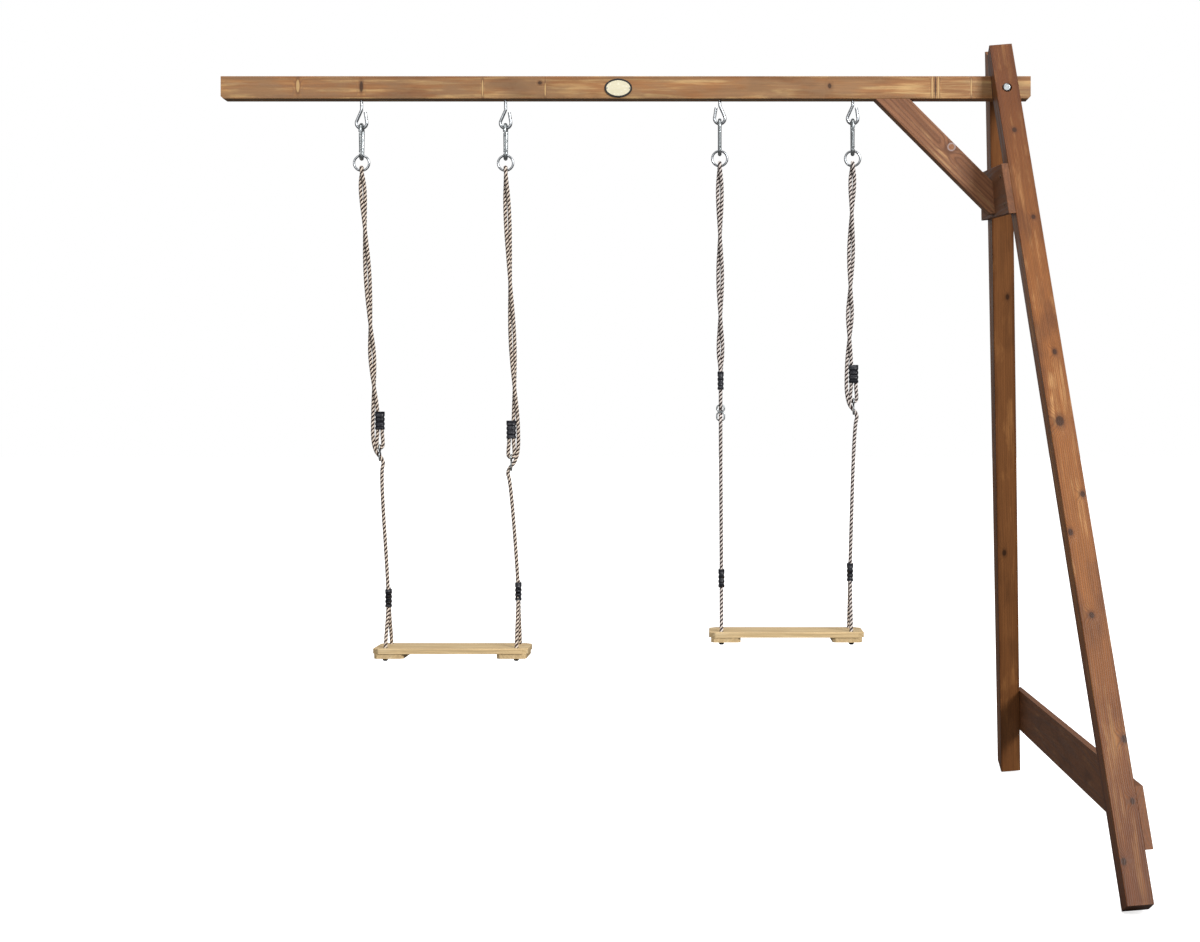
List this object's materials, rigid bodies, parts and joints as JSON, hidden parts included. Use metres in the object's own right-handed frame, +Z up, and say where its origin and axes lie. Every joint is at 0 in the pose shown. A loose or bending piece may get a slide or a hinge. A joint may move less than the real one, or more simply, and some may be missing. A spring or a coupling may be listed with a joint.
{
  "type": "swing set",
  "caption": "Timber swing beam on an A-frame, with wooden seats on adjustable ropes; the beam's free end fixes to another structure.",
  "frame": {"origin": "middle of the beam's left end face, 1.97 m above the ground", "axes": "+X along the beam towards the A-frame, -Y to the front, +Z up"},
  "size_m": [2.2691, 1.8634, 2.0818],
  "materials": {
    "stained_beam": "brown stained planed pine",
    "stained_leg": "brown stained planed pine",
    "stained_board": "dark brown stained pine",
    "stained_brace": "reddish brown stained pine",
    "pale_pine": "untreated pine",
    "galvanised_steel": "bright zinc",
    "black_plastic": "moulded, slightly glossy",
    "laid_rope": "four strands, brown and cream",
    "badge_face": "plain cream oval with a dark rim"
  },
  "bodies": {
    "frame": {"beam": "stained_beam", "front_leg": "stained_leg", "back_leg": "stained_leg", "top_spreader": "stained_board", "ground_crossbar": "stained_board", "knee_brace": "stained_brace", "frame_bolt": "galvanised_steel", "frame_nut": "galvanised_steel", "spreader_screws": "galvanised_steel", "crossbar_screws": "galvanised_steel", "brace_screws": "galvanised_steel", "badge": "badge_face", "badge_nails": "galvanised_steel", "hook_1": "galvanised_steel", "hook_2": "galvanised_steel", "hook_3": "galvanised_steel", "hook_4": "galvanised_steel"},
    "left_snap_hooks": {"carabiner_1": "galvanised_steel", "carabiner_2": "galvanised_steel", "left_gate_rivets": "galvanised_steel"},
    "left_seat": {"ring_1": "galvanised_steel", "ring_2": "galvanised_steel", "rope_1": "laid_rope", "rope_2": "laid_rope", "bridle_1": "laid_rope", "bridle_2": "laid_rope", "adjuster_1": "galvanised_steel", "adjuster_2": "galvanised_steel", "left_upper_ferrules": "black_plastic", "left_lower_ferrules": "black_plastic", "left_seat_board": "pale_pine", "left_seat_cleats": "pale_pine", "left_seat_screws": "galvanised_steel", "left_seat_stoppers": "black_plastic"},
    "gate_1": {"gate_1": "galvanised_steel"},
    "gate_2": {"gate_2": "galvanised_steel"},
    "right_snap_hooks": {"carabiner_3": "galvanised_steel", "carabiner_4": "galvanised_steel", "right_gate_rivets": "galvanised_steel"},
    "right_seat": {"ring_3": "galvanised_steel", "ring_4": "galvanised_steel", "rope_3": "laid_rope", "rope_4": "laid_rope", "bridle_3": "laid_rope", "bridle_4": "laid_rope", "adjuster_3": "galvanised_steel", "adjuster_4": "galvanised_steel", "right_upper_ferrules": "black_plastic", "right_lower_ferrules": "black_plastic", "right_seat_board": "pale_pine", "right_seat_cleats": "pale_pine", "right_seat_screws": "galvanised_steel", "right_seat_stoppers": "black_plastic"},
    "gate_3": {"gate_3": "galvanised_steel"},
    "gate_4": {"gate_4": "galvanised_steel"}
  },
  "joints": [
    {"name": "left_swing", "type": "hinge", "parent": "frame", "child": "left_snap_hooks", "pos_m": [0.5605, 0, -0.105], "axis": [1, 0, 0], "range_deg": [-60, 60]},
    {"name": "left_rope_tilt", "type": "hinge", "parent": "left_snap_hooks", "child": "left_seat", "pos_m": [0.5605, 0, -0.1774], "axis": [1, 0, 0], "range_deg": [-25, 25]},
    {"name": "gate_1_open", "type": "hinge", "parent": "left_snap_hooks", "child": "gate_1", "pos_m": [0.369, -0.01182, -0.16681], "axis": [-1, 0, 0], "range_deg": [0, 22], "stiffness_Nm_per_rad": 0.05, "springref_deg": -20.05},
    {"name": "gate_2_open", "type": "hinge", "parent": "left_snap_hooks", "child": "gate_2", "pos_m": [0.752, -0.01182, -0.16681], "axis": [-1, 0, 0], "range_deg": [0, 22], "stiffness_Nm_per_rad": 0.05, "springref_deg": -20.05},
    {"name": "right_swing", "type": "hinge", "parent": "frame", "child": "right_snap_hooks", "pos_m": [1.49825, 0, -0.093], "axis": [1, 0, 0], "range_deg": [-60, 60]},
    {"name": "right_rope_tilt", "type": "hinge", "parent": "right_snap_hooks", "child": "right_seat", "pos_m": [1.49825, 0, -0.1654], "axis": [1, 0, 0], "range_deg": [-25, 25]},
    {"name": "gate_3_open", "type": "hinge", "parent": "right_snap_hooks", "child": "gate_3", "pos_m": [1.3215, -0.01182, -0.15481], "axis": [-1, 0, 0], "range_deg": [0, 22], "stiffness_Nm_per_rad": 0.05, "springref_deg": -20.05},
    {"name": "gate_4_open", "type": "hinge", "parent": "right_snap_hooks", "child": "gate_4", "pos_m": [1.675, -0.01182, -0.15481], "axis": [-1, 0, 0], "range_deg": [0, 22], "stiffness_Nm_per_rad": 0.05, "springref_deg": -20.05}
  ]
}
